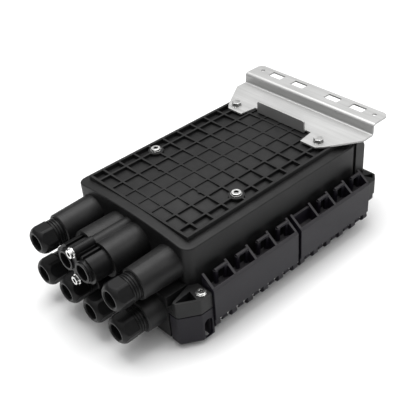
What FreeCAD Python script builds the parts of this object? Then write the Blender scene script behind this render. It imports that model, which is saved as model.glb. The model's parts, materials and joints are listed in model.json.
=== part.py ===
import FreeCAD, Part
import os
from math import cos, pi, radians, sin

os.makedirs("parts", exist_ok=True)
V = FreeCAD.Vector

# Fibre termination box lying on its cover: X runs from the cable ports to the bracket,
# Y to the left of the ports, Z up. The origin is the middle of the cover's flat face. Millimetres.

# How far shapes run into or past one another where they are joined or cut, and what counts as no length
over = 1.0
tiny = 1e-6

# Shell: the base is the deep upper half with the ports, the cover is the pan below it
shell_length = 268.0
shell_width = 185.0
shell_wall = 3.5
shell_corner_r = 12.0
cover_depth = 43.5
base_side_height = 65.0
crown_rise = 5.9
rim_round = 1.5
cover_round = 5.0

# Stiffening grid on the back
grid_margin_x = 11.5
grid_margin_y = 10.5
rib_pitch = 22.0
bump_row = 1.5
rib_thick = 2.4
frame_rib_thick = 3.0
rib_over_crown = 1.1
first_rib = 18.0
bump_r = 2.6
bump_rib = 2

# Fastening bosses in the back, six ribs apart both ways, the far pair one rib before the last
boss_last_rib = 1
boss_rib_span = 6
boss_r = 9.0
inner_boss_r = 8.0
inner_boss_drop = 12.0
bolt_r = 3.0
bolt_clearance = 0.3

# Flanges, the lip that the latches hook over, and the corner ears
flange_reach = 19.5
end_flange_reach = 13.0
end_flange_inset = 12.0
base_flange_thick = 6.0
cover_flange_thick = 8.0
lip_thick = 7.0
lip_height = 5.3
ear_height = 13.0
ear_reach = 26.0
ear_cut_x = 21.4
ear_cut_y = 13.3
far_ear_reach = 17.5
far_ear_cut_x = 9.4
far_ear_cut_y = 7.5
ear_reach_y = 20.8
ear_tip = 5.0
far_ear_tip = 20.0
far_ear_end_set = 5.0
ear_end_set = 10.7
ear_round = 4.0
ear_rim = 2.6
ear_pocket_depth = 11.0
ear_screw_inset = 7.5
skirt_wall = 3.0
skirt_gap = 2.8
skirt_round = 6.0
skirt_round_share = 0.55
parting_groove = 1.3
lock_slot_width = 11.0
lock_slot_height = 25.0
lock_slot_drop = 24.5
end_plate_reach = 11.0
end_plate_start = 4.6
end_plate_thick = 3.5
end_plate_proud = 0.5
end_plate_round = 10.0
end_plate_rise = 0.8

# Rubber gasket between the halves
gasket_width = 5.0
gasket_height = 4.2
gasket_inset = 4.5
gasket_side = 2.5

# Cable ports: tapered tubes, the lower four on a stepped block
port_pitch = 43.0
lower_row_below_parting = 5.7
row_gap = 44.3
tube_end_r = 18.0
tube_draft = 1.6
tube_end_reach = 48.0
tube_flare = 0.4
tube_flare_length = 4.0
tube_edge = 1.2
seat_depth = 27.0
seat_thick = 3.0
seat_hole_r = 10.5
sleeve_wall = 2.5
block_margin = 1.5
block_reach = 26.0
block_bottom_z = 8.0

# Gland nuts that screw into the tubes, with a pressure ring and a seal behind each
thread_r = 15.3
thread_depth = 1.1
thread_pitch = 3.0
thread_crest = 1.3
thread_fit = 0.3
shank_wall = 2.6
shank_engaged = 11.0
nut_stand_off = 10.5
nut_length = 19.0
nut_straight = 9.5
nut_flat = 29.4
nut_corner_r = 16.2
nut_front_r = 11.8
nut_dome_bulge = 1.6
cable_hole_r = 9.0
cable_chamfer = 1.2
cable_ease = 0.3
ring_thick = 2.6
ring_gap = 0.2
seal_ease = 0.1

# Oval port for two uncut cables: two lobes with a ridge between them, and a slotted pressing cap
oval_rise = 2.0
oval_half_pitch = 14.5
oval_r = 20.0
oval_bore_r = 12.4
oval_tube_reach = 46.0
oval_ridge_r = 8.0
oval_ridge_offset = 13.0
oval_screw_offset = 17.5
oval_boss_r = 5.4
oval_barrel_length = 22.0
oval_barrel_r = 16.0
oval_slot_depth = 4.5
oval_inner_slot = 8.0
oval_outer_slot = 14.6
oval_slot_width = 4.0
oval_cap_thick = 3.5
oval_cap_r = 12.8
oval_rim_r = 11.6
oval_rim_height = 2.0
oval_seal_length = 15.0
cap_screw_r = 2.0
cap_screw_length = 40.0
cap_screw_head_r = 4.8
cap_washer_r = 6.0
cap_screw_head = 3.4

# Latches, two on each long side, turning on pins in the cover
latch_offset = 4.0
latch_plate = 3.0
latch_end_gap = 0.8
latch_mid_gap = 5.0
latch_mid_shift = 6.0
hook_gap = 0.4
hook_thick = 3.0
hook_width = 14.5
latch_rim_height = 8.3
latch_bevel = 2.2
latch_lip_in = 17.6
latch_lip_rise = 11.0
latch_upper_ribs = 5
latch_upper_rib = 3.0
latch_post_r = 2.75
latch_post_place = 0.48
latch_post_set = 0.5
latch_rail_set = 1.2
latch_rail_r = 2.2
latch_rail_sink = 3.0
latch_lower_ribs = 6
latch_lower_rib = 7.0
latch_lower_angle = 37.0
latch_lower_sink = 0.8
latch_lower_rise = 8.0
latch_lower_set = 1.5
latch_lower_drop = 8.5
knuckle_r = 5.5
lug_r = 3.7
lug_width = 6.5
lug_web = 9.0
pin_r = 2.0
pin_fit = 0.05
pin_inset = 6.5
pin_drop = 17.1
lug_angle = 45.0
latch_bottom_gap = 1.1

# Folded sheet bracket on the back
sheet = 2.0
bracket_foot_lead = 10.5
bracket_foot_width = 28.0
bracket_foot_shift = 4.0
bracket_notch_slope = 3.0
bracket_foot_round = 6.0
bracket_front_set = 7.4
bracket_flange_half = 37.4
bracket_flange_height = 13.0
bracket_notch_length = 4.0
bracket_plate_half = 102.0
bracket_flare_end = 36.5
bracket_fold_set = 55.0
bracket_step = 13.4
bracket_bend_r = 2.5
bracket_top_depth = 28.0
bracket_top_half = 102.0
bracket_top_round = 8.0
slot_length = 20.0
slot_width = 11.0
slot_round = 1.0
slot_row = 17.2
slot_inner_y = 27.2
slot_outer_y = 64.5
strap_hole_r = 2.6
strap_hole_y = 89.0

# Fasteners on the back and at the ears
washer_r = 6.3
washer_thick = 1.2
hex_flat = 10.0
button_r = 5.6
button_head = 2.0
socket_flat = 5.0
socket_depth = 1.7
button_round = 0.8
bracket_head_flat = 10.0
bracket_head = 4.4
bracket_head_chamfer = 0.5
nut_height = 5.0
screw_end = 1.5
corner_screw_r = 2.2
corner_head_r = 5.0
corner_head = 1.6
corner_head_round = 0.6
corner_socket_flat = 4.0
corner_socket_depth = 1.3
corner_washer_r = 6.0
corner_screw_length = 26.0
corner_boss_r = 5.0
corner_boss_drop = 6.0

# Carrier frame, trays and clamps inside
frame_sheet = 1.5
frame_end_gap = 8.5
frame_back_set = 14.0
frame_half_width = 76.0
frame_skirt = 10.0
frame_nut_gap = 1.0
holder_length = 12.0
holder_width = 84.0
holder_set = 35.5
tray_length = 140.0
tray_width = 112.0
tray_height = 8.0
tray_wall = 1.6
tray_gap = 1.0
tray_count = 3
tray_top_drop = 15.0
tray_pin_r = 1.5
tray_knuckle = 12.0
tray_knuckle_wall = 1.4
tray_knuckle_gap = 0.3
tray_corner_r = 11.0
tray_arm_wall = 1.0
drum_r = 22.0
drum_wall = 1.8
comb_length = 40.0
comb_width = 24.0
comb_height = 4.0
comb_slots = 6
comb_slot = 1.8
comb_floor = 1.0
comb_end = 0.5
lid_thick = 1.2
clamp_length = 14.0
clamp_width = 18.0
clamp_height = 9.0
clamp_groove_r = 4.0
clamp_groove_y = 5.5
clamp_set = 2.0
clamp_side_gap = 1.0
clamp_count = 4
clamp_screw_r = 1.6
clamp_head_r = 3.2
clamp_head = 2.2

# Heights and faces worked out from the sizes above
half_x = shell_length / 2
half_y = shell_width / 2
parting_z = cover_depth
base_edge_z = parting_z + base_side_height
rib_top_z = base_edge_z + crown_rise + rib_over_crown
lip_top_z = parting_z + base_flange_thick + lip_height
ear_top_z = parting_z + base_flange_thick + ear_height
flange_y = half_y + flange_reach
grid_x0 = -half_x + grid_margin_x
grid_x1 = half_x - grid_margin_x
grid_y = half_y - grid_margin_y
last_rib = int((grid_x1 - frame_rib_thick - rib_thick / 2 - grid_x0 - first_rib) // rib_pitch)
far_boss_x = grid_x0 + first_rib + rib_pitch * (last_rib - boss_last_rib)
boss_x = [far_boss_x - rib_pitch * boss_rib_span, far_boss_x]
boss_y = rib_pitch * boss_rib_span / 2
boss_places = [(x, y) for x in boss_x for y in (-boss_y, boss_y)]
boss_end_z = rib_top_z - inner_boss_drop
bolt_hole_r = bolt_r + bolt_clearance

lower_z = parting_z - lower_row_below_parting
upper_z = lower_z + row_gap
block_x = -half_x - block_reach
block_y = 1.5 * port_pitch + tube_end_r + tube_draft + block_margin
tube_end_x = -half_x - tube_end_reach
bore_r = thread_r + thread_fit
seat_x = tube_end_x + seat_depth
shank_end_x = tube_end_x + shank_engaged
nut_rear_x = tube_end_x - nut_stand_off
nut_front_x = nut_rear_x - nut_length
ports = [(1.5 * port_pitch, upper_z, -half_x), (-1.5 * port_pitch, upper_z, -half_x)]
ports += [(port_pitch * k, lower_z, block_x) for k in (1.5, 0.5, -0.5, -1.5)]
oval_z = upper_z + oval_rise
oval_end_x = -half_x - oval_tube_reach
oval_cap_x = oval_end_x - oval_barrel_length - oval_cap_thick

ear_y = -half_y - ear_reach_y
ear_end_x = -half_x + ear_end_set
far_ear_end_x = half_x - far_ear_end_set
ear_screw = (ear_end_x - ear_screw_inset, ear_y + ear_screw_inset)
ear_x = -half_x - ear_reach
near_ear = (ear_reach, ear_cut_x, ear_cut_y, ear_tip, ear_end_x)
far_ear = (far_ear_reach, far_ear_cut_x, far_ear_cut_y, far_ear_tip, -far_ear_end_x)
skirt_z = skirt_gap

latch_y = flange_y + latch_offset
latch_x0 = ear_end_x + latch_end_gap
latch_x1 = far_ear_end_x - latch_end_gap
hook_z = lip_top_z + hook_gap
latch_top_z = hook_z + hook_thick + latch_rim_height
pin_y = latch_y - pin_inset
pin_z = parting_z - cover_flange_thick - pin_drop
latch_bottom_z = pin_z + knuckle_r + latch_bottom_gap

sheet_z = rib_top_z
bolt_x = boss_x[1]
foot_x = bolt_x - bracket_foot_lead
front_x = bolt_x + bracket_front_set
fold_x = bolt_x + bracket_fold_set
bracket_top_z = sheet_z + bracket_step

frame_z = boss_end_z - frame_sheet
frame_front = half_x - shell_wall - frame_end_gap
frame_x1 = boss_x[1] + frame_back_set
nut_room_r = hex_flat / 2 / cos(pi / 6) + frame_nut_gap
clamp_pitch = (2 * (frame_half_width - frame_sheet - clamp_side_gap) - clamp_width) / (clamp_count - 1)
tray_z0 = frame_z - tray_top_drop
tray_x0 = -frame_front + holder_set + holder_length + tray_gap


def box(x0, x1, y0, y1, z0, z1):
    """Block between two corners."""
    return Part.makeBox(x1 - x0, y1 - y0, z1 - z0, V(x0, y0, z0))


def rod_x(r, x0, x1, y, z):
    """Round bar along X."""
    return Part.makeCylinder(r, x1 - x0, V(x0, y, z), V(1, 0, 0))


def rod_y(r, y0, y1, x, z):
    """Round bar along Y."""
    return Part.makeCylinder(r, y1 - y0, V(x, y0, z), V(0, 1, 0))


def rod_z(r, z0, z1, x, y):
    """Round bar along Z."""
    return Part.makeCylinder(r, z1 - z0, V(x, y, z0), V(0, 0, 1))


def prism(points, direction):
    """Flat outline pushed along a direction."""
    return Part.Face(Part.makePolygon(points + points[:1])).extrude(direction)


def slab_xy(points, z0, z1):
    """Plan outline between two heights."""
    return prism([V(x, y, z0) for x, y in points], V(0, 0, z1 - z0))


def slab_yz(points, x0, x1):
    """Cross-section outline between two stations along X."""
    return prism([V(x0, y, z) for y, z in points], V(x1 - x0, 0, 0))


def union(shapes):
    """One solid from shapes that meet."""
    return shapes[0].multiFuse(shapes[1:]).removeSplitter()


def upright_edges(shape):
    """Straight edges that run along Z."""
    return [e for e in shape.Edges if e.BoundBox.XLength < tiny and e.BoundBox.YLength < tiny]


def rounded_block(x0, x1, y0, y1, z0, z1, r):
    """Block with its upright edges rounded."""
    block = box(x0, x1, y0, y1, z0, z1)
    return block.makeFillet(r, upright_edges(block))


def turned_x(profile, y, z):
    """Solid of revolution about an axis along X, from (x, radius) points."""
    points = [V(x, y, z + r) for x, r in profile]
    face = Part.Face(Part.makePolygon(points + points[:1]))
    return face.revolve(V(0, y, z), V(1, 0, 0), 360)


def stadium_x(half_pitch, r, x0, x1, z):
    """Long round bar section about Y = 0, along X."""
    middle = box(x0, x1, -half_pitch, half_pitch, z - r, z + r)
    return union([middle, rod_x(r, x0, x1, -half_pitch, z), rod_x(r, x0, x1, half_pitch, z)])


def hexagon_z(flat, z0, z1, x, y):
    """Hexagonal bar along Z."""
    r = flat / 2 / cos(pi / 6)
    return slab_xy([(x + r * cos(pi / 3 * k), y + r * sin(pi / 3 * k)) for k in range(6)], z0, z1)


def inset(points, d):
    """Convex anticlockwise outline moved inwards by d."""
    lines = []
    for (x0, y0), (x1, y1) in zip(points, points[1:] + points[:1]):
        edge = V(x1 - x0, y1 - y0, 0).normalize()
        lines.append((V(x0 - edge.y * d, y0 + edge.x * d, 0), edge))
    corners = []
    for (p, u), (q, v) in zip(lines[-1:] + lines[:-1], lines):
        k = ((q.x - p.x) * v.y - (q.y - p.y) * v.x) / (u.x * v.y - u.y * v.x)
        corners.append((p.x + u.x * k, p.y + u.y * k))
    return corners


def mirror_x(shape):
    return shape.mirror(V(0, 0, 0), V(1, 0, 0))


def mirror_y(shape):
    return shape.mirror(V(0, 0, 0), V(0, 1, 0))


def both_sides(shape):
    """A shape and its mirror across the long middle plane."""
    return [shape, mirror_y(shape)]


def save(name, shape):
    """One STEP file for a node, of one solid or a group of alike ones."""
    solids = shape if isinstance(shape, list) else [shape]
    group = solids[0] if len(solids) == 1 else Part.makeCompound(solids)
    group.exportStep("parts/" + name + ".step")
    print(name, len(group.Solids), group.isValid(), round(group.Volume))


def crowned_block(hx, hy, r, z0, edge_z, rise):
    """Shell half with rounded corners and a top that is arched across its width."""
    low_a, low_b = V(-hx, -hy, z0), V(-hx, hy, z0)
    top_a, top_b = V(-hx, -hy, edge_z), V(-hx, hy, edge_z)
    arch = Part.Arc(top_a, V(-hx, 0, edge_z + rise), top_b).toShape()
    sides = [Part.makeLine(low_a, top_a), arch, Part.makeLine(top_b, low_b), Part.makeLine(low_b, low_a)]
    block = Part.Face(Part.Wire(sides)).extrude(V(2 * hx, 0, 0))
    return block.makeFillet(r, upright_edges(block))


def gasket():
    """Rubber ring on the parting plane that dips under the port block in a U."""
    y0 = half_y + gasket_inset
    y1 = y0 + gasket_width
    x0 = half_x + gasket_inset
    x1 = x0 + gasket_width
    z0 = parting_z - gasket_height / 2
    z1 = parting_z + gasket_height / 2
    u_y = block_y + gasket_side
    u_z = block_bottom_z - gasket_side
    strips = both_sides(box(-x1, x1, y0, y1, z0, z1))
    strips += [box(x0, x1, -y1, y1, z0, z1)]
    strips += both_sides(box(-x1, -x0, block_y, y1, z0, z1))
    strips += both_sides(box(-x1, -x0, block_y, u_y, u_z, z1))
    strips += [box(-x1, -x0, -u_y, u_y, u_z, block_bottom_z)]
    return union(strips)


def rib_grid():
    """Square ribs and their frame, standing on the crowned back."""
    z0 = base_edge_z - shell_wall
    half = rib_thick / 2
    bars = both_sides(box(grid_x0, grid_x1, grid_y - frame_rib_thick, grid_y, z0, rib_top_z))
    bars += [box(grid_x0, grid_x0 + frame_rib_thick, -grid_y, grid_y, z0, rib_top_z)]
    bars += [box(grid_x1 - frame_rib_thick, grid_x1, -grid_y, grid_y, z0, rib_top_z)]
    rows = int((grid_y - frame_rib_thick) // rib_pitch)
    for k in range(-rows, rows + 1):
        bars.append(box(grid_x0, grid_x1, rib_pitch * k - half, rib_pitch * k + half, z0, rib_top_z))
    for k in range(last_rib + 1):
        x = grid_x0 + first_rib + rib_pitch * k
        bars.append(box(x - half, x + half, -grid_y, grid_y, z0, rib_top_z))
    bars += [rod_z(boss_r, z0, rib_top_z, x, y) for x, y in boss_places]
    bump_x = grid_x0 + first_rib + bump_rib * rib_pitch
    bars += both_sides(rod_z(bump_r, z0, rib_top_z, bump_x, bump_row * rib_pitch))
    return union(bars)


def tube_radius(x):
    """Outside radius of a tapered port tube at a station along X."""
    return tube_end_r + tube_draft * (x - tube_end_x) / tube_end_reach


def port_tube(y, z, root_x):
    """Port tube with a flared root, running inwards to the seal's shoulder."""
    inner_x = max(root_x + shell_wall, seat_x + seat_thick)
    sleeve_r = bore_r + sleeve_wall
    profile = [(inner_x, 0), (inner_x, sleeve_r), (root_x + shell_wall, sleeve_r),
               (root_x, tube_radius(root_x) + tube_flare), (root_x - tube_flare_length, tube_radius(root_x)),
               (tube_end_x + tube_edge, tube_end_r), (tube_end_x, tube_end_r - tube_edge), (tube_end_x, 0)]
    return turned_x(profile, y, z)


def port_bore(y, z, root_x):
    """Bore of a port tube, narrowed by the shoulder that the seal is pressed against."""
    inside_x = max(root_x + shell_wall, seat_x + seat_thick) + over
    return [rod_x(bore_r, tube_end_x - over, seat_x, y, z), rod_x(seat_hole_r, tube_end_x, inside_x, y, z),
            rod_x(bore_r, seat_x + seat_thick, inside_x, y, z)]


def oval_tube():
    """Two-lobed tube with a ridge above and below that takes the cap's screws."""
    x1 = -half_x + shell_wall
    bodies = [rod_x(oval_r, oval_end_x, x1, side * oval_half_pitch, oval_z) for side in (-1, 1)]
    bodies += [rod_x(oval_ridge_r, oval_end_x, x1, 0, oval_z + side * oval_ridge_offset) for side in (-1, 1)]
    return union(bodies)


def ear_outline(reach, cut_x, cut_y, tip, end_x):
    """Raised ear at the right side of the port end, anticlockwise in plan."""
    tip_x = -half_x - reach
    return [(-half_x + over, -half_y + ear_tip), (tip_x, ear_y + cut_y + tip), (tip_x, ear_y + cut_y),
            (tip_x + cut_x, ear_y), (end_x, ear_y), (end_x, -half_y + over)]


def ear_slab(outline, z0, z1):
    """Ear block with its two cut corners rounded."""
    slab = slab_xy(outline, z0, z1)
    cut = [V(x, y, z0) for x, y in outline[2:4]]
    corners = [e for e in upright_edges(slab)
               if any(v.Point.distanceToPoint(p) < over for v in e.Vertexes for p in cut)]
    return slab.makeFillet(ear_round, corners)


def ear_pocket(reach, cut_x, cut_y, tip, end_x):
    """Pocket in the ear's top, inside a thin rim."""
    corners = [(-half_x, -half_y)] + ear_outline(reach, cut_x, cut_y, min(tip, ear_tip), end_x)[1:4]
    return slab_xy(inset(corners, ear_rim), ear_top_z - ear_pocket_depth, ear_top_z + over)


def at_both_ends(make):
    """A shape made for the ears at the ports and at the bracket, on both sides."""
    near = make(*near_ear)
    far = mirror_x(make(*far_ear))
    return both_sides(near) + both_sides(far)


def end_plate():
    """Upright cheek in line with the right wall that runs past the bracket end, its top corner rounded."""
    top_z = base_edge_z + end_plate_rise
    y0 = -half_y - end_plate_proud
    x0, x1 = half_x - end_plate_start, half_x + end_plate_reach
    plate = box(x0, x1, y0, y0 + end_plate_thick, parting_z, top_z)
    corner = [e for e in plate.Edges if e.BoundBox.XMin > half_x and e.BoundBox.ZMin > top_z - over]
    return plate.makeFillet(end_plate_round, corner)


def base_housing(ring):
    """Deep upper half: crowned ribbed back, flange with the latch lip, ears, port block and tubes."""
    shell = crowned_block(half_x, half_y, shell_corner_r, parting_z, base_edge_z, crown_rise)
    crown = max(shell.Faces, key=lambda f: f.BoundBox.ZMin)
    shell = shell.makeFillet(rim_round, crown.Edges)
    flange_z = parting_z + base_flange_thick
    end_x, end_y = half_x + end_flange_reach, flange_y - end_flange_inset
    parts = [shell, rib_grid(), box(-half_x, far_ear_end_x, -flange_y, flange_y, parting_z, flange_z)]
    parts.append(box(0, end_x, -end_y, end_y, parting_z, flange_z))
    near = ear_outline(*near_ear)
    ear_floor = [(-half_x + over, -block_y + over), (ear_x, -block_y + over)] + near[2:]
    parts += both_sides(ear_slab(ear_floor, parting_z, flange_z))
    lip = box(ear_end_x - over, far_ear_end_x + over, -flange_y, -flange_y + lip_thick, parting_z, lip_top_z)
    parts += both_sides(lip)
    parts += at_both_ends(lambda *ear: ear_slab(ear_outline(*ear), parting_z, ear_top_z))
    parts += both_sides(end_plate())
    parts.append(box(block_x, -half_x + shell_wall, -block_y, block_y, block_bottom_z, ear_top_z))
    body = union(parts)

    cuts = [crowned_block(half_x - shell_wall, half_y - shell_wall, shell_corner_r - shell_wall,
                          parting_z - over, base_edge_z - shell_wall, crown_rise)]
    inner_y = block_y - shell_wall
    cuts.append(box(block_x + shell_wall, -half_x + 2 * shell_wall, -inner_y, inner_y,
                    block_bottom_z + shell_wall, ear_top_z - shell_wall))
    cuts += at_both_ends(ear_pocket)
    cuts += both_sides(rod_z(corner_screw_r, parting_z - over, ear_top_z + over, *ear_screw))
    cuts.append(ring)
    body = body.cut(cuts)

    bosses = [rod_z(inner_boss_r, boss_end_z, base_edge_z, x, y) for x, y in boss_places]
    tubes = [port_tube(y, z, x) for y, z, x in ports]
    body = body.multiFuse(bosses + tubes + [oval_tube()])
    holes = [rod_z(bolt_hole_r, boss_end_z - over, rib_top_z + over, x, y) for x, y in boss_places]
    for y, z, x in ports:
        holes += port_bore(y, z, x)
    inside_x = -half_x + shell_wall + over
    for side in (-1, 1):
        holes.append(rod_x(oval_bore_r, oval_end_x - over, inside_x, side * oval_half_pitch, oval_z))
        screw_x = oval_cap_x + cap_screw_length
        holes.append(rod_x(cap_screw_r, oval_end_x - over, screw_x, 0, oval_z + side * oval_screw_offset))
    return body.cut(holes).removeSplitter()


def screw_boss():
    """Boss under the cover's flange for a corner screw."""
    return rod_z(corner_boss_r, parting_z - cover_flange_thick - corner_boss_drop, parting_z, *ear_screw)


def cover_ear():
    """Hollow skirted corner of the cover at the ports, open below, with a slot for a padlock."""
    wall_y = -block_y - gasket_side
    outline = [(-half_x + over, wall_y), (ear_x, wall_y)]
    outline += ear_outline(*near_ear)[2:]
    skirt = ear_slab(outline, skirt_z, parting_z - parting_groove)
    rim = [e.BoundBox for e in skirt.Edges]
    low = [e for e, b in zip(skirt.Edges, rim) if b.ZMax < skirt_z + over and b.YMax < -half_y
           and b.XMin < ear_end_x - over]
    side = wall_y - ear_y - ear_cut_y
    skirt = skirt.makeFillet(min(skirt_round, skirt_round_share * side), low)
    hollow = slab_xy(inset(outline, skirt_wall), skirt_z - over, parting_z - cover_flange_thick)
    slot_x = ear_screw[0]
    slot_z = parting_z - lock_slot_drop
    r = lock_slot_width / 2
    run = lock_slot_height / 2 - r
    y0, y1 = ear_y - over, ear_y + skirt_wall + over
    slot = union([box(slot_x - r, slot_x + r, y0, y1, slot_z - run, slot_z + run),
                  rod_y(r, y0, y1, slot_x, slot_z - run), rod_y(r, y0, y1, slot_x, slot_z + run)])
    top = slab_xy(inset(outline, parting_groove), parting_z - cover_flange_thick, parting_z)
    return union([skirt.cut([hollow, slot]), top])


def latch_span(index):
    """Ends along X of a latch: 0 at the ports, 1 at the bracket."""
    half = latch_mid_gap / 2
    return (latch_x0, latch_mid_shift - half) if index == 0 else (latch_mid_shift + half, latch_x1)


def lower_rib_places(index):
    """Middles along X of a latch's lower ribs."""
    x0, x1 = latch_span(index)
    step = (x1 - x0 - latch_lower_rib) / (latch_lower_ribs - 1)
    return [x0 + latch_lower_rib / 2 + step * k for k in range(latch_lower_ribs)]


def hinge_lugs():
    """Lugs under the cover's right flange that hold the latch pins, between the latch's ribs."""
    under = parting_z - cover_flange_thick
    chord = lug_r * cos(radians(lug_angle))
    web = [(-flange_y + lug_web, under + over), (-flange_y, under + over), (-flange_y, under),
           (-pin_y - chord, pin_z + chord), (-pin_y + chord, pin_z - chord)]
    lugs = []
    for index in (0, 1):
        places = lower_rib_places(index)
        for a, b in zip(places, places[1:]):
            x0 = (a + b - lug_width) / 2
            lug = union([slab_yz(web, x0, x0 + lug_width), rod_x(lug_r, x0, x0 + lug_width, -pin_y, pin_z)])
            lugs.append(lug)
    return lugs


def cover_housing(ring):
    """Shallow lower half: pan, flange, hinge lugs, skirted ears and the seat of the port block."""
    pan = rounded_block(-half_x, half_x, -half_y, half_y, 0, parting_z, shell_corner_r)
    bottom = [f for f in pan.Faces if f.BoundBox.ZMax < tiny][0]
    pan = pan.makeFillet(cover_round, bottom.Edges)
    flange_z = parting_z - cover_flange_thick
    end_x, end_y = half_x + end_flange_reach, flange_y - end_flange_inset
    parts = [pan, box(0, end_x, -end_y, end_y, flange_z, parting_z)]
    parts += both_sides(box(-half_x, far_ear_end_x, -flange_y, -half_y + over, flange_z, parting_z))
    seat_z = block_bottom_z - gasket_side
    seat_y = block_y + gasket_side
    sill_y = seat_y + over
    parts.append(box(-half_x - end_flange_reach, -half_x + shell_wall, -sill_y, sill_y, skirt_z, seat_z))
    parts += both_sides(cover_ear()) + both_sides(screw_boss())
    far = inset(ear_outline(*far_ear), parting_groove)
    parts += both_sides(mirror_x(ear_slab(far, flange_z, parting_z)))
    for lug in hinge_lugs():
        parts += both_sides(lug)
    body = union(parts)
    inner_x, inner_y = half_x - shell_wall, half_y - shell_wall
    cuts = [rounded_block(-inner_x, inner_x, -inner_y, inner_y, shell_wall, parting_z + over,
                          shell_corner_r - shell_wall)]
    cuts.append(box(block_x - over, -half_x + 2 * shell_wall, -seat_y, seat_y, seat_z, parting_z + over))
    cuts += both_sides(rod_x(pin_r + pin_fit, latch_x0, latch_x1, -pin_y, pin_z))
    screw_depth = ear_top_z - corner_screw_length
    cuts += both_sides(rod_z(corner_screw_r, screw_depth, parting_z + over, *ear_screw))
    cuts.append(ring)
    return body.cut(cuts).removeSplitter()


def latch(index):
    """Snap latch of the right side: outer plate, hook over the lip, ribs, fingers and hinge knuckles."""
    x0, x1 = latch_span(index)
    plate_y = -latch_y + latch_plate
    inner_y = -latch_y + latch_lip_in
    inner_z = latch_top_z + latch_lip_rise
    floor_z = hook_z + hook_thick
    plate = slab_yz([(-latch_y, latch_bottom_z), (plate_y, latch_bottom_z), (plate_y, latch_top_z),
                     (-latch_y + latch_bevel, latch_top_z), (-latch_y, latch_top_z - latch_bevel)], x0, x1)
    hook = box(x0, x1, -latch_y + over, -latch_y + latch_plate + hook_width, hook_z, floor_z)
    parts = [plate, hook]
    upper = [(plate_y - over, floor_z - over), (plate_y - over, latch_top_z), (inner_y - over, inner_z),
             (inner_y, inner_z), (inner_y, floor_z - over)]
    step = (x1 - x0 - latch_upper_rib) / (latch_upper_ribs - 1)
    rib_x = [x0 + step * k for k in range(latch_upper_ribs)]
    parts += [slab_yz(upper, x, x + latch_upper_rib) for x in rib_x]
    rail_z = inner_z - latch_rail_sink
    post_y = inner_y - latch_post_r - latch_post_set
    for k, x in enumerate(rib_x[:-1]):
        if index == 1 and k == 0:
            parts.append(box(x, x + step, inner_y - latch_upper_rib, inner_y, floor_z - over, rail_z))
            continue
        middle = x + latch_upper_rib / 2 + step * latch_post_place
        for place in (middle, x + step - latch_post_r / 2):
            parts.append(rod_z(latch_post_r, floor_z - over, rail_z, place, post_y))
        rail_x = middle - latch_post_r + latch_rail_set
        parts.append(rod_x(latch_rail_r, rail_x, x + step + over, post_y, rail_z))
    chord = (knuckle_r - latch_lower_sink) * cos(radians(latch_lower_angle))
    drop = (knuckle_r - latch_lower_sink) * sin(radians(latch_lower_angle))
    lower = [(plate_y - over, latch_bottom_z + latch_lower_rise),
             (-latch_y + latch_lower_set, latch_bottom_z),
             (-latch_y + latch_lower_set, latch_bottom_z - latch_lower_drop),
             (-pin_y - drop, pin_z - chord), (-pin_y, pin_z), (-pin_y + chord, pin_z + drop)]
    half = latch_lower_rib / 2
    for x in lower_rib_places(index):
        parts += [slab_yz(lower, x - half, x + half), rod_x(knuckle_r, x - half, x + half, -pin_y, pin_z)]
    return union(parts).cut(rod_x(pin_r + pin_fit, x0 - over, x1 + over, -pin_y, pin_z))


def hinge_pin(index):
    """Steel pin of one latch of the right side."""
    x0, x1 = latch_span(index)
    return rod_x(pin_r, x0, x1, -pin_y, pin_z)


def hexagon_x(flat, x, y, z):
    """Hexagonal outline across X, with flats above and below."""
    r = flat / 2 / cos(pi / 6)
    corners = [V(x, y + r * cos(pi / 3 * k), z + r * sin(pi / 3 * k)) for k in range(6)]
    return Part.makePolygon(corners + corners[:1])


def gland_nut(y, z):
    """Hexagonal domed head with a cable hole, on a hollow ridged shank that screws into the tube."""
    waist_x = nut_rear_x - nut_straight
    dome_x = (waist_x + nut_front_x) / 2
    dome_r = (nut_corner_r + nut_front_r) / 2 + nut_dome_bulge
    waist, front = V(waist_x, y, z + nut_corner_r), V(nut_front_x, y, z + nut_front_r)
    dome = Part.Arc(waist, V(dome_x, y, z + dome_r), front)
    corners = [front, V(nut_front_x, y, z), V(nut_rear_x, y, z), V(nut_rear_x, y, z + nut_corner_r), waist]
    outline = Part.Wire(Part.makePolygon(corners).Edges + [dome.toShape()])
    turned = Part.Face(outline).revolve(V(0, y, z), V(1, 0, 0), 360)
    hexagon = Part.Face(hexagon_x(nut_flat, nut_front_x, y, z)).extrude(V(nut_length, 0, 0))
    root_r = thread_r - thread_depth
    flank = thread_depth / 2
    profile = [(nut_rear_x - over, 0), (nut_rear_x - over, root_r)]
    x = nut_rear_x + thread_pitch / 2 - thread_crest / 2
    while x + thread_crest + flank < shank_end_x:
        profile += [(x - flank, root_r), (x, thread_r), (x + thread_crest, thread_r),
                    (x + thread_crest + flank, root_r)]
        x += thread_pitch
    profile += [(shank_end_x, root_r), (shank_end_x, 0)]
    body = union([turned.common(hexagon), turned_x(profile, y, z)])
    entry_r = cable_hole_r + cable_chamfer
    hole = turned_x([(nut_front_x - over, 0), (nut_front_x - over, entry_r + over), (nut_front_x, entry_r),
                     (nut_front_x + cable_chamfer, cable_hole_r), (nut_rear_x, cable_hole_r),
                     (nut_rear_x, root_r - shank_wall), (shank_end_x + over, root_r - shank_wall),
                     (shank_end_x + over, 0)], y, z)
    return body.cut(hole)


def gland_ring(y, z):
    """Flat pressure ring at the end of the nut's shank."""
    x0 = shank_end_x + ring_gap
    ring = rod_x(bore_r - thread_fit, x0, x0 + ring_thick, y, z)
    return ring.cut(rod_x(cable_hole_r + cable_ease, x0 - over, x0 + ring_thick + over, y, z))


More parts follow.
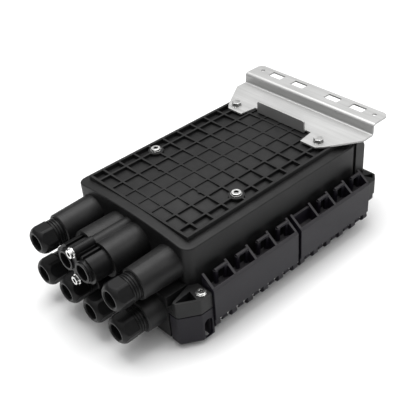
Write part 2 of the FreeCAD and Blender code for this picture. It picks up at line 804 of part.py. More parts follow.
def gland_seal(y, z):
    """Rubber sleeve between the pressure ring and the tube's shoulder."""
    x0 = shank_end_x + 2 * ring_gap + ring_thick
    sleeve = rod_x(bore_r - seal_ease, x0, seat_x, y, z)
    return sleeve.cut(rod_x(cable_hole_r + cable_ease, x0 - over, seat_x + over, y, z))


def oval_cap():
    """Pressing cap: two rimmed cable holes on a slotted barrel, with two screw bosses between them."""
    x0, x1 = oval_cap_x, oval_end_x
    barrel_x = x0 + oval_cap_thick
    barrel = stadium_x(oval_half_pitch, oval_barrel_r, barrel_x, x1, oval_z)
    half = oval_slot_width / 2
    z1 = oval_z + oval_barrel_r
    slots = []
    for y in (oval_inner_slot, oval_outer_slot):
        for z0 in (z1 - oval_slot_depth, 2 * oval_z - z1 - over):
            slot_z1 = z0 + oval_slot_depth + over
            slots += both_sides(box(barrel_x - over, x1 + over, y - half, y + half, z0, slot_z1))
    parts = [barrel.cut(slots), box(x0, x1, -oval_boss_r, oval_boss_r, oval_z - oval_screw_offset,
                                    oval_z + oval_screw_offset)]
    for side in (-1, 1):
        y = side * oval_half_pitch
        parts.append(rod_x(oval_cap_r, x0, x1, y, oval_z))
        parts.append(rod_x(oval_rim_r, x0 - oval_rim_height, x1, y, oval_z))
        parts.append(rod_x(oval_boss_r, x0, x1, 0, oval_z + side * oval_screw_offset))
    cuts = both_sides(rod_x(cable_hole_r, x0 - oval_rim_height - over, x1 + over, oval_half_pitch, oval_z))
    hole_r = cap_screw_r + bolt_clearance
    cuts += [rod_x(hole_r, x0 - over, x1 + over, 0, oval_z + side * oval_screw_offset) for side in (-1, 1)]
    return union(parts).cut(cuts)


def oval_seals():
    """Rubber sleeves in the two bores of the oval port."""
    x0, x1 = oval_end_x, oval_end_x + oval_seal_length
    sleeve = rod_x(oval_bore_r - seal_ease, x0, x1, oval_half_pitch, oval_z)
    hole = rod_x(cable_hole_r + cable_ease, x0 - over, x1 + over, oval_half_pitch, oval_z)
    return both_sides(sleeve.cut(hole))


def cap_screws():
    """Socket screws of the pressing cap with their washers under the heads."""
    screws, washers = [], []
    head_x = oval_cap_x - washer_thick
    for side in (-1, 1):
        z = oval_z + side * oval_screw_offset
        shank = rod_x(cap_screw_r, head_x, oval_cap_x + cap_screw_length, 0, z)
        head = rod_x(cap_screw_head_r, head_x - cap_screw_head, head_x, 0, z)
        socket = Part.Face(hexagon_x(socket_flat, head_x - cap_screw_head, 0, z))
        screws.append(union([shank, head]).cut(socket.extrude(V(socket_depth, 0, 0))))
        disc = rod_x(cap_washer_r, head_x, oval_cap_x, 0, z)
        washers.append(disc.cut(rod_x(cap_screw_r + bolt_clearance, head_x - over, oval_cap_x + over, 0, z)))
    return screws, washers


def bracket_fold():
    """Riser between the bracket's two plates, with a round bend below and above."""
    half = min(bracket_plate_half, bracket_top_half)
    x0, x1 = fold_x - sheet, fold_x
    z1, top_z = sheet_z + sheet, bracket_top_z + sheet
    outer_r = bracket_bend_r + sheet
    body = union([box(x0 - outer_r, x1, -half, half, sheet_z, z1), box(x0, x1, -half, half, sheet_z, top_z),
                  box(x0, x1 + outer_r, -half, half, bracket_top_z, top_z)]).removeSplitter()
    inner_places, outer_places = ((x1, bracket_top_z), (x0, z1)), ((x0, top_z), (x1, sheet_z))
    for r, places in ((bracket_bend_r, inner_places), (outer_r, outer_places)):
        bends = [e for e in body.Edges if e.BoundBox.YLength > half and
                 any(abs(e.BoundBox.Center.x - x) + abs(e.BoundBox.Center.z - z) < tiny for x, z in places)]
        body = body.makeFillet(r, bends)
    return body


def bracket():
    """Sheet folded once up at the front edge and twice at the back, with strap slots."""
    z0, z1 = sheet_z, sheet_z + sheet
    inner = boss_y - bracket_foot_width / 2 - bracket_foot_shift
    outer = inner + bracket_foot_width
    flare_x = bolt_x + bracket_flare_end
    notch_x = front_x + bracket_notch_length
    bend_x = fold_x - sheet - bracket_bend_r
    left = [(front_x, bracket_flange_half), (notch_x, bracket_flange_half),
            (notch_x, inner - bracket_notch_slope), (foot_x, inner), (foot_x, outer - bracket_foot_round),
            (foot_x + bracket_foot_round, outer), (flare_x, bracket_plate_half), (bend_x, bracket_plate_half)]
    plate = slab_xy(left + [(x, -y) for x, y in reversed(left)], z0, z1)
    flange = box(front_x, front_x + sheet, -bracket_flange_half, bracket_flange_half, z0,
                 z1 + bracket_flange_height)
    top = [e for e in flange.Edges if e.BoundBox.YLength < tiny and e.BoundBox.ZLength < tiny and
           e.BoundBox.ZMin > z1]
    flange = flange.makeFillet(bracket_foot_round / 2, top)
    shelf_x = fold_x + bracket_bend_r
    shelf = rounded_block(shelf_x, fold_x + bracket_top_depth, -bracket_top_half, bracket_top_half,
                          bracket_top_z, bracket_top_z + sheet, bracket_top_round)
    shelf = shelf.fuse(box(shelf_x, shelf_x + bracket_top_round, -bracket_top_half, bracket_top_half,
                           bracket_top_z, bracket_top_z + sheet))
    body = union([plate, flange, bracket_fold(), shelf]).removeSplitter()
    cuts = [rod_z(bolt_hole_r, z0 - over, z1 + over, bolt_x, y) for y in (-boss_y, boss_y)]
    slot_x = fold_x + slot_row
    low_z, high_z = bracket_top_z - over, bracket_top_z + sheet + over
    x0, x1 = slot_x - slot_width / 2, slot_x + slot_width / 2
    half = slot_length / 2
    for y in (slot_inner_y, slot_outer_y):
        cuts += both_sides(rounded_block(x0, x1, y - half, y + half, low_z, high_z, slot_round))
    cuts += both_sides(rod_z(strap_hole_r, low_z, high_z, slot_x, strap_hole_y))
    return body.cut(cuts)


def washer(x, y, z, r, hole_r):
    """Flat washer lying at a height."""
    return rod_z(r, z, z + washer_thick, x, y).cut(rod_z(hole_r, z - over, z + washer_thick + over, x, y))


def socket_head(x, y, z):
    """Low round screw head with a hexagonal socket."""
    top_z = z + button_head
    head = rod_z(button_r, z, top_z, x, y)
    head = head.makeFillet(button_round, [e for e in head.Edges if e.BoundBox.ZMin > z + over])
    return head.cut(hexagon_z(socket_flat, top_z - socket_depth, top_z + over, x, y))


def hexagon_head(x, y, z):
    """Hexagonal bolt head with its top edge broken."""
    head = hexagon_z(bracket_head_flat, z, z + bracket_head, x, y)
    return head.makeChamfer(bracket_head_chamfer, [e for e in head.Edges if e.BoundBox.ZMin > z + over])


def back_fasteners():
    """Screws, washers and nuts through the four bosses; the far two are hexagon bolts and hold the bracket."""
    screws, washers, nuts = [], [], []
    end_z = frame_z - nut_height - screw_end
    for x, seat, make_head in zip(boss_x, (rib_top_z, sheet_z + sheet), (socket_head, hexagon_head)):
        for y in (-boss_y, boss_y):
            washers.append(washer(x, y, seat, washer_r, bolt_hole_r))
            head_z = seat + washer_thick
            screws.append(union([rod_z(bolt_r, end_z, head_z, x, y), make_head(x, y, head_z)]))
            nut = hexagon_z(hex_flat, frame_z - nut_height, frame_z, x, y)
            nuts.append(nut.cut(rod_z(bolt_r, frame_z - nut_height - over, frame_z + over, x, y)))
    return screws, washers, nuts


def corner_fasteners():
    """Low socket screws and washers at the two ears beside the ports."""
    x, y = ear_screw
    head_z = ear_top_z + washer_thick
    head = rod_z(corner_head_r, head_z, head_z + corner_head, x, y)
    head = head.makeFillet(corner_head_round, [e for e in head.Edges if e.BoundBox.ZMin > head_z + over])
    top_z = head_z + corner_head
    socket = hexagon_z(corner_socket_flat, top_z - corner_socket_depth, top_z + over, x, y)
    screw = union([rod_z(corner_screw_r, ear_top_z - corner_screw_length, head_z, x, y), head]).cut(socket)
    ring = washer(x, y, ear_top_z, corner_washer_r, corner_screw_r + bolt_clearance)
    return both_sides(screw), both_sides(ring)


def carrier_frame():
    """Folded steel carrier under the back, bolted to the four bosses, its skirts clear of the nuts."""
    top_z = frame_z + frame_sheet
    plate = box(-frame_front, frame_x1, -frame_half_width, frame_half_width, frame_z, top_z)
    skirt = box(-frame_front, frame_x1, -frame_half_width, -frame_half_width + frame_sheet,
                frame_z - frame_skirt, frame_z)
    nut_rooms = [rod_z(nut_room_r, frame_z - frame_skirt - over, frame_z, x, y) for x, y in boss_places]
    nut_seats = [rod_z(nut_room_r, frame_z, top_z, x, y) for x, y in boss_places]
    body = union([plate] + nut_seats + [half.cut(nut_rooms) for half in both_sides(skirt)])
    cuts = [rod_z(bolt_hole_r, frame_z - over, top_z + over, x, y) for x, y in boss_places]
    cuts += [rod_z(clamp_screw_r, frame_z - over, top_z + over, x, y) for x, y in clamp_places()]
    return body.cut(cuts)


def tray_bottom(k):
    """Underside of a tray, counted from the frame downwards."""
    return tray_z0 - (tray_height + tray_gap) * k - tray_height


def tray_pin_place(k):
    """Axis of a tray's hinge, along Y in the holder."""
    return tray_x0 - tray_gap - holder_length / 2, tray_bottom(k) + tray_height / 2


def tray_holder():
    """Moulded post under the frame that carries the trays on pins."""
    x1 = tray_x0 - tray_gap
    low_z = tray_bottom(tray_count - 1)
    half = holder_width / 2
    body = box(x1 - holder_length, x1, -half, half, low_z, frame_z)
    cuts = []
    reach = tray_height / 2 + tray_knuckle_gap
    for k in range(tray_count):
        x, z = tray_pin_place(k)
        cuts.append(rod_y(tray_pin_r, -half - over, half + over, x, z))
        for y in (-half + tray_knuckle, half - 2 * tray_knuckle):
            cuts.append(box(x - reach, x1 + over, y, y + tray_knuckle, z - reach, z + reach))
    return body.cut(cuts)


def splice_tray(k):
    """Shallow tray, open downwards, with two fibre drums and hinge knuckles."""
    z0 = tray_bottom(k)
    z1 = z0 + tray_height
    x1 = tray_x0 + tray_length
    half = tray_width / 2
    body = rounded_block(tray_x0, x1, -half, half, z0, z1, tray_corner_r)
    body = body.cut(rounded_block(tray_x0 + tray_wall, x1 - tray_wall, -half + tray_wall, half - tray_wall,
                                  z0 - over, z1 - tray_wall, tray_corner_r - tray_wall))
    parts = [body]
    for x in (tray_x0 + half, x1 - half):
        drum = rod_z(drum_r, z0 + tray_wall, z1, x, 0)
        parts.append(drum.cut(rod_z(drum_r - drum_wall, z0, z1 - tray_wall, x, 0)))
    pin_x, pin_zk = tray_pin_place(k)
    y_edge = holder_width / 2
    arm_half = tray_pin_r + tray_arm_wall
    for edge in (-y_edge + tray_knuckle, y_edge - 2 * tray_knuckle):
        y0, y1 = edge + tray_knuckle_gap, edge + tray_knuckle - tray_knuckle_gap
        arm = box(pin_x, tray_x0 + tray_wall, y0, y1, pin_zk - arm_half, pin_zk + arm_half)
        parts.append(arm.fuse(rod_y(tray_pin_r + tray_knuckle_wall, y0, y1, pin_x, pin_zk)))
    return union(parts).cut(rod_y(tray_pin_r, -y_edge, y_edge, pin_x, pin_zk))


def tray_pins():
    """Hinge pins of the trays."""
    half = holder_width / 2
    return [rod_y(tray_pin_r, -half, half, *tray_pin_place(k)) for k in range(tray_count)]


def splice_combs():
    """Combs that hold the splice sleeves, one seated in each tray's floor."""
    combs = []
    x0 = tray_x0 + tray_length / 2 - comb_length / 2
    y0 = tray_width / 2 - tray_wall - comb_width
    step = comb_width / (comb_slots + comb_end)
    for k in range(tray_count):
        z1 = tray_bottom(k) + tray_height - tray_wall
        comb = box(x0, x0 + comb_length, y0, y0 + comb_width, z1 - comb_height, z1)
        starts = [y0 + step * (j + comb_end) for j in range(comb_slots)]
        low_z = z1 - comb_height - over
        slots = [box(x0 - over, x0 + comb_length + over, y, y + comb_slot, low_z, z1 - comb_floor)
                 for y in starts]
        combs.append(comb.cut(slots))
    return combs


def tray_lid():
    """Clear lid on the outermost tray."""
    z1 = tray_bottom(tray_count - 1)
    return rounded_block(tray_x0, tray_x0 + tray_length, -tray_width / 2, tray_width / 2, z1 - lid_thick, z1,
                         tray_corner_r)


def clamp_places():
    """Middles of the strength-member clamps, spread across the frame behind the ports."""
    x = -frame_front + clamp_length / 2 + clamp_set
    first = -clamp_pitch * (clamp_count - 1) / 2
    return [(x, first + clamp_pitch * k) for k in range(clamp_count)]


def cable_clamps():
    """Grooved clamp blocks on the frame and the screws that hold them."""
    blocks, screws = [], []
    z1 = frame_z
    for x, y in clamp_places():
        block = box(x - clamp_length / 2, x + clamp_length / 2, y - clamp_width / 2, y + clamp_width / 2,
                    z1 - clamp_height, z1)
        head_z = z1 - clamp_height
        groove = rod_x(clamp_groove_r, x - clamp_length, x + clamp_length, y - clamp_groove_y, head_z)
        hole = rod_z(clamp_screw_r, head_z - over, z1 + over, x, y)
        blocks.append(block.cut([groove, hole]))
        screws.append(union([rod_z(clamp_screw_r, head_z, frame_z + frame_sheet, x, y),
                             rod_z(clamp_head_r, head_z - clamp_head, head_z, x, y)]))
    return blocks, screws


def build():
    ring = gasket()
    save("housing_gasket", ring)
    save("base_housing", base_housing(ring))
    save("cover_housing", cover_housing(ring))
    for index, end in enumerate(("port", "bracket")):
        save("latch_right_" + end, latch(index))
        save("latch_left_" + end, mirror_y(latch(index)))
        save("hinge_pin_right_" + end, hinge_pin(index))
        save("hinge_pin_left_" + end, mirror_y(hinge_pin(index)))
    for number, (y, z, root_x) in enumerate(ports, 1):
        save("gland_nut_%d" % number, gland_nut(y, z))
        save("gland_ring_%d" % number, gland_ring(y, z))
        save("gland_seal_%d" % number, gland_seal(y, z))
    save("oval_port_cap", oval_cap())
    save("oval_port_seals", oval_seals())
    screws, washers = cap_screws()
    save("oval_cap_screws", screws)
    save("oval_cap_washers", washers)
    save("mounting_bracket", bracket())
    screws, washers, nuts = back_fasteners()
    save("back_screws", screws)
    save("back_washers", washers)
    save("frame_nuts", nuts)
    screws, washers = corner_fasteners()
    save("corner_screws", screws)
    save("corner_washers", washers)
    save("carrier_frame", carrier_frame())
    save("tray_holder", tray_holder())
    for k in range(tray_count):
        save("splice_tray_%d" % (k + 1), splice_tray(k))
    save("tray_pins", tray_pins())
    save("splice_combs", splice_combs())
    save("tray_lid", tray_lid())
    blocks, screws = cable_clamps()
    save("cable_clamps", blocks)
    save("clamp_screws", screws)


build()
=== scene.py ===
"""Looks of the fibre termination box around its CAD frame: materials, floor, light and camera."""

import json
import math

import bpy
from mathutils import Matrix, Vector

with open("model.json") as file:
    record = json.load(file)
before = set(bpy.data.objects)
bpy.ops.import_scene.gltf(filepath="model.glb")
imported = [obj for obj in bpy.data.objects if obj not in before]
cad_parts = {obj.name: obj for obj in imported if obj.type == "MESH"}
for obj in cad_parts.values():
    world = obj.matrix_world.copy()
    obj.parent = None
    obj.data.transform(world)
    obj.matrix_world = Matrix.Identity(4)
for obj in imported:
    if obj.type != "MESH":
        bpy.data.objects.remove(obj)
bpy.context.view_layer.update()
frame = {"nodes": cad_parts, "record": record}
nodes = frame["nodes"]
scene = bpy.context.scene

# Camera of the photograph, in metres and degrees
CAMERA_PLACE = (-0.4854, -0.5431, 0.5820)
CAMERA_AZIMUTH = -40.59
CAMERA_ELEVATION = 36.57
CAMERA_ROLL = -4.49
CAMERA_CLIP = (0.01, 50.0)
FOCAL_PIXELS = 763.1
PICTURE_PIXELS = 420
SENSOR_MM = 36.0

# Floor, in metres
FLOOR_WIDTH = 60.0
FLOOR_DROP = 0.0004
FLOOR_COLOR = (0.93, 0.93, 0.93, 1.0)
FLOOR_ROUGHNESS = 0.9
FLOOR_SPECULAR = 0.1

# Room: brightness of its walls and ceiling, and the heights on the unit sphere between which one turns into the other
WALL_LIGHT = 0.05
CEILING_LIGHT = 1.05
WALL_TOP = 0.1
CEILING_EDGE = 0.95
ROOM_COLOR = (1.0, 1.0, 1.0, 1.0)

# Soft lights as name, place, size and watts
LIGHTS = (("top_light", (0.1, 0.35, 1.9), 1.6, 30.0),
          ("right_light", (1.2, -1.2, 1.5), 1.0, 6.0))

# Sockets of the colour mix node
MIX_A, MIX_B, MIX_RESULT = 6, 7, 2

# Rounded edges: samples, and the agreement of rounded and plain normal on a flat face and on an edge
EDGE_SAMPLES = 6
EDGE_FLAT = 0.995
EDGE_SHARP = 0.85

# Samples of the test for corners and sockets
OPEN_SAMPLES = 8

# Distances that the materials work with, in metres
PLASTIC_BUMP = 0.00012
SHEET_EDGE = 0.0006
SHEET_FOLD_SHADE_REACH = 0.012
SHEET_BUMP = 0.0001
SMALL_EDGE = 0.0004
SOCKET_SHADE_REACH = 0.004
STEEL_BUMP = 0.00005
RUBBER_BUMP = 0.0001
LID_BUMP = 0.00005

# Colours that the materials share
# Pale grey of dusty patches and of painted light on upward faces
DUST_AND_TOP_LIGHT_COLOR = (0.16, 0.155, 0.15)
STEEL_EDGE_COLOR = (0.95, 0.95, 0.94)
# Painted shade inside sockets
SOCKET_SHADE_COLOR = (0.03, 0.03, 0.03)
LID_COLOR = (0.86, 0.89, 0.90)
LID_EDGE_COLOR = (0.96, 0.97, 0.98)


class Graph:
    """Builds the node tree of one material."""

    def __init__(self, name):
        self.material = bpy.data.materials.new(name)
        self.material.use_nodes = True
        self.tree = self.material.node_tree
        self.shader = self.tree.nodes["Principled BSDF"]
        self.place = self.node("ShaderNodeTexCoord").outputs["Object"]

    def node(self, kind, **settings):
        """New node with its settings."""
        made = self.tree.nodes.new(kind)
        for key, value in settings.items():
            setattr(made, key, value)
        return made

    def feed(self, socket, value):
        """Links an output to a socket, or sets the socket to a number or colour."""
        if isinstance(value, bpy.types.NodeSocket):
            self.tree.links.new(value, socket)
        else:
            socket.default_value = value

    def noise(self, scale, detail, stretch=None, roughness=0.5):
        """Noise value, with its features squeezed along the axes where wanted."""
        place = self.place
        if stretch:
            mapping = self.node("ShaderNodeMapping")
            self.feed(mapping.inputs["Vector"], place)
            mapping.inputs["Scale"].default_value = stretch
            place = mapping.outputs["Vector"]
        made = self.node("ShaderNodeTexNoise")
        self.feed(made.inputs["Vector"], place)
        made.inputs["Scale"].default_value = scale
        made.inputs["Detail"].default_value = detail
        made.inputs["Roughness"].default_value = roughness
        return made.outputs["Fac"]

    def span(self, value, low, high, to_low=0.0, to_high=1.0):
        """Value between low and high spread over another range, held at its ends."""
        made = self.node("ShaderNodeMapRange")
        self.feed(made.inputs["Value"], value)
        for key, number in (("From Min", low), ("From Max", high), ("To Min", to_low), ("To Max", to_high)):
            made.inputs[key].default_value = number
        return made.outputs["Result"]

    def math(self, operation, a, b):
        """Sum, product or other operation on two values."""
        made = self.node("ShaderNodeMath", operation=operation)
        self.feed(made.inputs[0], a)
        self.feed(made.inputs[1], b)
        return made.outputs["Value"]

    def blend(self, a, share_a, b, share_b):
        """Sum of two values, each times its share."""
        return self.math("ADD", self.math("MULTIPLY", a, share_a), self.math("MULTIPLY", b, share_b))

    def mix(self, share, a, b):
        """Colour between a and b."""
        made = self.node("ShaderNodeMix", data_type="RGBA")
        self.feed(made.inputs["Factor"], share)
        for socket, value in ((made.inputs[MIX_A], a), (made.inputs[MIX_B], b)):
            self.feed(socket, value if isinstance(value, bpy.types.NodeSocket) else (*value, 1.0))
        return made.outputs[MIX_RESULT]

    def soft_edges(self, radius):
        """Rounded normal of edges, and how near an edge a point lies."""
        bevel = self.node("ShaderNodeBevel", samples=EDGE_SAMPLES)
        bevel.inputs["Radius"].default_value = radius
        plain = self.node("ShaderNodeNewGeometry").outputs["Normal"]
        dot = self.node("ShaderNodeVectorMath", operation="DOT_PRODUCT")
        self.feed(dot.inputs[0], bevel.outputs["Normal"])
        self.feed(dot.inputs[1], plain)
        return bevel.outputs["Normal"], self.span(dot.outputs["Value"], EDGE_FLAT, EDGE_SHARP)

    def facing_up(self):
        """How far a surface faces up."""
        normal = self.node("ShaderNodeNewGeometry").outputs["Normal"]
        split = self.node("ShaderNodeSeparateXYZ")
        self.feed(split.inputs["Vector"], normal)
        return self.span(split.outputs["Z"], low=0.2, high=0.95)

    def open_share(self, reach):
        """How open a point lies, from 0 deep in a socket or corner to 1 on a free face."""
        made = self.node("ShaderNodeAmbientOcclusion", samples=OPEN_SAMPLES, only_local=True)
        made.inputs["Distance"].default_value = reach
        return made.outputs["AO"]

    def bump(self, height, strength, distance, normal):
        """Normal with a fine relief on it."""
        made = self.node("ShaderNodeBump")
        made.inputs["Strength"].default_value = strength
        made.inputs["Distance"].default_value = distance
        self.feed(made.inputs["Height"], height)
        self.feed(made.inputs["Normal"], normal)
        return made.outputs["Normal"]

    def finish(self, color, roughness, normal, metallic=0.0, specular=0.5):
        """Feeds the shader and gives the material."""
        self.feed(self.shader.inputs["Base Color"], color)
        self.feed(self.shader.inputs["Roughness"], roughness)
        self.feed(self.shader.inputs["Normal"], normal)
        self.shader.inputs["Metallic"].default_value = metallic
        self.shader.inputs["Specular IOR Level"].default_value = specular
        return self.material


def shade(color, factor):
    """Colour made darker or lighter, white at most."""
    return tuple(min(1.0, c * factor) for c in color)


def moulded_plastic(name, dark, light, gloss, grain, edge, wear=0.25, dust_and_top_light=0.0, painted_top_light_share=0.0, specular=0.5):
    """Injection-moulded plastic: fine spark grain, cloudy tone, softened and scuffed edges, dusty patches and painted
    light on upward faces.
    """
    g = Graph(name)
    cloud = g.noise(scale=22.0, detail=5.0)
    fine = g.noise(scale=1900.0, detail=3.0)
    speck = g.noise(scale=320.0, detail=4.0, roughness=0.65)
    flow = g.noise(scale=9.0, detail=4.0, stretch=(1.0, 5.0, 5.0))
    normal, near_edge = g.soft_edges(edge)
    tone = g.span(g.blend(cloud, 0.6, speck, 0.4), low=0.36, high=0.66)
    color = g.mix(tone, dark, light)
    scuff = g.math("MULTIPLY", near_edge, g.span(speck, low=0.42, high=0.62, to_high=wear))
    color = g.mix(scuff, color, tuple(c * 2.0 + 0.008 for c in light))
    # Dusty patches and painted light: upward faces are lightened towards a pale grey, evenly in part.
    if dust_and_top_light:
        grime = g.noise(scale=60.0, detail=6.0, roughness=0.7)
        dust_and_top_light_patch = g.span(grime, low=0.35, high=0.74, to_low=dust_and_top_light * painted_top_light_share, to_high=dust_and_top_light)
        dust_and_top_light_share = g.math("MULTIPLY", g.facing_up(), dust_and_top_light_patch)
        color = g.mix(dust_and_top_light_share, color, DUST_AND_TOP_LIGHT_COLOR)
    rough = g.span(g.blend(flow, 0.5, speck, 0.5), low=0.34, high=0.68, to_low=gloss - 0.06, to_high=gloss + 0.08)
    height = g.math("ADD", fine, g.math("MULTIPLY", speck, 0.5))
    return g.finish(color, rough, g.bump(height, grain, PLASTIC_BUMP, normal), specular=specular)


def sheet_steel(name, dark, light, gloss, lay, metallic=1.0, painted_side_shade=1.0):
    """Rolled plate: rolling streaks, faint clouds, bright sheared edges, scratches, painted shade on faces that do not
    face up and in folds.
    """
    g = Graph(name)
    streak = g.noise(scale=1.0, detail=4.0, stretch=lay, roughness=0.6)
    cloud = g.noise(scale=14.0, detail=5.0)
    across = tuple(2.5 * c for c in reversed(lay))
    scratch = g.span(g.noise(scale=1.0, detail=2.0, stretch=across), low=0.70, high=0.74)
    normal, near_edge = g.soft_edges(SHEET_EDGE)
    tone = g.span(g.blend(streak, 0.5, cloud, 0.5), low=0.35, high=0.65)
    color = g.mix(tone, dark, light)
    # Painted shade: faces that do not face up, and the insides of folds, are darkened towards a darker copy of the
    # plate colour.
    if painted_side_shade < 1.0:
        painted_lit_share = g.math("MULTIPLY", g.facing_up(), g.span(g.open_share(SHEET_FOLD_SHADE_REACH), low=0.45, high=0.85))
        color = g.mix(painted_lit_share, shade(dark, painted_side_shade), color)
    color = g.mix(g.math("MULTIPLY", near_edge, 0.6), color, shade(light, 1.3))
    rough = g.span(streak, low=0.3, high=0.7, to_low=gloss - 0.05, to_high=gloss + 0.07)
    rough = g.math("ADD", rough, g.math("MULTIPLY", scratch, 0.12))
    height = g.math("ADD", streak, g.math("MULTIPLY", scratch, -0.6))
    return g.finish(color, rough, g.bump(height, 0.10, SHEET_BUMP, normal), metallic=metallic)


def bright_steel(name, tone, gloss, painted_side_shade=1.0):
    """Small turned or pressed steel piece: turning marks, softened edges, uneven shine, painted shade on sides where
    wanted and in sockets.
    """
    g = Graph(name)
    fine = g.noise(scale=2600.0, detail=2.0)
    cloud = g.noise(scale=240.0, detail=4.0)
    normal, near_edge = g.soft_edges(SMALL_EDGE)
    color = g.mix(g.span(cloud, low=0.35, high=0.65), shade(tone, 0.82), tone)
    color = g.mix(near_edge, color, STEEL_EDGE_COLOR)
    # Painted shade: faces that do not face up are darkened.
    if painted_side_shade < 1.0:
        color = g.mix(g.facing_up(), shade(tone, painted_side_shade), color)
    # Painted shade in sockets and recesses.
    color = g.mix(g.span(g.open_share(SOCKET_SHADE_REACH), low=0.45, high=0.8), SOCKET_SHADE_COLOR, color)
    rough = g.span(cloud, low=0.3, high=0.7, to_low=gloss - 0.05, to_high=gloss + 0.08)
    return g.finish(color, rough, g.bump(fine, 0.06, STEEL_BUMP, normal), metallic=1.0)


def rubber(name, dark, light):
    """Moulded rubber with a dull bloom."""
    g = Graph(name)
    bloom = g.noise(scale=90.0, detail=5.0)
    fine = g.noise(scale=1500.0, detail=2.0)
    normal, near_edge = g.soft_edges(SMALL_EDGE)
    color = g.mix(g.span(bloom, low=0.35, high=0.7), dark, light)
    color = g.mix(g.math("MULTIPLY", near_edge, 0.4), color, shade(light, 2.0))
    rough = g.span(bloom, low=0.3, high=0.7, to_low=0.72, to_high=0.86)
    return g.finish(color, rough, g.bump(fine, 0.15, RUBBER_BUMP, normal), specular=0.3)


def clear_plastic(name):
    """Clear moulded lid with faint flow marks."""
    g = Graph(name)
    flow = g.noise(scale=40.0, detail=4.0)
    fine = g.noise(scale=900.0, detail=2.0)
    normal, near_edge = g.soft_edges(SMALL_EDGE)
    color = g.mix(near_edge, LID_COLOR, LID_EDGE_COLOR)
    g.shader.inputs["Transmission Weight"].default_value = 0.85
    rough = g.span(flow, low=0.3, high=0.7, to_low=0.08, to_high=0.18)
    return g.finish(color, rough, g.bump(fine, 0.03, LID_BUMP, normal))


# Materials by their slot in the record or in OWN_LOOKS, as maker and settings
LOOKS = {
    "housing_plastic": (moulded_plastic, dict(dark=(0.0052, 0.0052, 0.0054), light=(0.0095, 0.0095, 0.0098), gloss=0.46,
                                              grain=0.30, edge=0.0007, dust_and_top_light=0.06, specular=0.30)),
    "cover_plastic": (moulded_plastic, dict(dark=(0.0058, 0.0048, 0.0082), light=(0.0100, 0.0084, 0.0135), gloss=0.44,
                                            grain=0.26, edge=0.0007, specular=0.22)),
    # The latch's upward faces are painted lighter, evenly and in dusty patches.
    "latch_plastic": (moulded_plastic, dict(dark=(0.0066, 0.0056, 0.0090), light=(0.0108, 0.0094, 0.0142), gloss=0.40,
                                            grain=0.20, edge=0.0006, dust_and_top_light=0.22, painted_top_light_share=0.6, specular=0.24)),
    "gland_plastic": (moulded_plastic, dict(dark=(0.0045, 0.0045, 0.0047), light=(0.0085, 0.0085, 0.0088), gloss=0.40,
                                            grain=0.18, edge=0.0005, wear=0.1, specular=0.20)),
    "ring_plastic": (moulded_plastic, dict(dark=(0.40, 0.40, 0.38), light=(0.52, 0.52, 0.50), gloss=0.45, grain=0.15,
                                           edge=0.0003)),
    "seal_rubber": (rubber, dict(dark=(0.010, 0.010, 0.010), light=(0.022, 0.022, 0.022))),
    # Bracket and bolt steel get painted shade on faces that do not face up; the bracket also gets it in its folds.
    "bracket_steel": (sheet_steel, dict(dark=(0.47, 0.47, 0.465), light=(0.59, 0.59, 0.585), gloss=0.48,
                                        lay=(500.0, 9.0, 500.0), metallic=0.6, painted_side_shade=0.8)),
    "fastener_steel": (bright_steel, dict(tone=(0.80, 0.80, 0.79), gloss=0.20)),
    "bolt_steel": (bright_steel, dict(tone=(0.80, 0.80, 0.79), gloss=0.32, painted_side_shade=0.22)),
    "pin_steel": (bright_steel, dict(tone=(0.66, 0.66, 0.65), gloss=0.25)),
    "frame_steel": (sheet_steel, dict(dark=(0.52, 0.52, 0.52), light=(0.66, 0.66, 0.65), gloss=0.34,
                                      lay=(9.0, 500.0, 500.0))),
    "tray_plastic": (moulded_plastic, dict(dark=(0.66, 0.66, 0.64), light=(0.78, 0.78, 0.76), gloss=0.42, grain=0.15,
                                           edge=0.0005)),
    "lid_plastic": (clear_plastic, dict()),
}
MATERIALS = {slot: make(slot, **settings) for slot, (make, settings) in LOOKS.items()}

# Nodes with a look of their own
OWN_LOOKS = {"cover_housing": "cover_plastic", "back_screws": "bolt_steel"}


def dress_nodes():
    """Gives every CAD node the material of its slot in the record, or its own look."""
    for part in frame["record"]["subparts"]:
        slot = OWN_LOOKS.get(part["node"], part["material_slot"])
        mesh = nodes[part["node"]].data
        mesh.materials.clear()
        mesh.materials.append(MATERIALS[slot])


def make_floor():
    """Plain pale floor just below the part."""
    bpy.ops.mesh.primitive_plane_add(size=FLOOR_WIDTH, location=(0.0, 0.0, -FLOOR_DROP))
    floor = bpy.context.object
    floor.name = "floor"
    surface = bpy.data.materials.new("pale_floor")
    surface.use_nodes = True
    shader = surface.node_tree.nodes["Principled BSDF"]
    shader.inputs["Base Color"].default_value = FLOOR_COLOR
    shader.inputs["Roughness"].default_value = FLOOR_ROUGHNESS
    shader.inputs["Specular IOR Level"].default_value = FLOOR_SPECULAR
    floor.data.materials.append(surface)


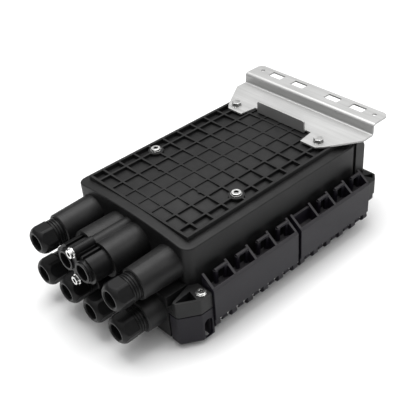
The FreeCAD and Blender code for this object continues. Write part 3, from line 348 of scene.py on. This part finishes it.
def make_room():
    """Room with dim walls and a bright ceiling, for light and reflections."""
    world = bpy.data.worlds.new("room")
    world.use_nodes = True
    tree = world.node_tree
    background = tree.nodes["Background"]
    split = tree.nodes.new("ShaderNodeSeparateXYZ")
    height = tree.nodes.new("ShaderNodeMapRange")
    height.interpolation_type = "SMOOTHSTEP"
    for key, number in (("From Min", WALL_TOP), ("From Max", CEILING_EDGE),
                        ("To Min", WALL_LIGHT), ("To Max", CEILING_LIGHT)):
        height.inputs[key].default_value = number
    tree.links.new(tree.nodes.new("ShaderNodeTexCoord").outputs["Generated"], split.inputs["Vector"])
    tree.links.new(split.outputs["Z"], height.inputs["Value"])
    tree.links.new(height.outputs["Result"], background.inputs["Strength"])
    background.inputs["Color"].default_value = ROOM_COLOR
    scene.world = world


def make_lights():
    """Large soft lights that point at the part."""
    for name, place, size, power in LIGHTS:
        lamp = bpy.data.lights.new(name, "AREA")
        lamp.shape = "DISK"
        lamp.size = size
        lamp.energy = power
        made = bpy.data.objects.new(name, lamp)
        made.location = place
        made.rotation_mode = "QUATERNION"
        made.rotation_quaternion = Vector(place).to_track_quat("Z", "Y")
        scene.collection.objects.link(made)


def make_camera():
    """Camera at the photograph's place, with its slight roll."""
    azimuth, elevation, roll = (math.radians(a) for a in (CAMERA_AZIMUTH, CAMERA_ELEVATION, CAMERA_ROLL))
    back = Vector((math.sin(azimuth) * math.cos(elevation), -math.cos(azimuth) * math.cos(elevation),
                   math.sin(elevation)))
    right = (-back).cross(Vector((0, 0, 1))).normalized()
    up = back.cross(right)
    level = Matrix((right, up, back)).transposed()
    lens = bpy.data.cameras.new("photo_camera")
    lens.sensor_width = SENSOR_MM
    lens.lens = SENSOR_MM * FOCAL_PIXELS / PICTURE_PIXELS
    lens.clip_start, lens.clip_end = CAMERA_CLIP
    camera = bpy.data.objects.new("photo_camera", lens)
    camera.matrix_world = Matrix.Translation(CAMERA_PLACE) @ (level @ Matrix.Rotation(roll, 3, "Z")).to_4x4()
    scene.collection.objects.link(camera)
    scene.camera = camera


dress_nodes()
make_floor()
make_room()
make_lights()
make_camera()
scene.view_settings.view_transform = "Standard"
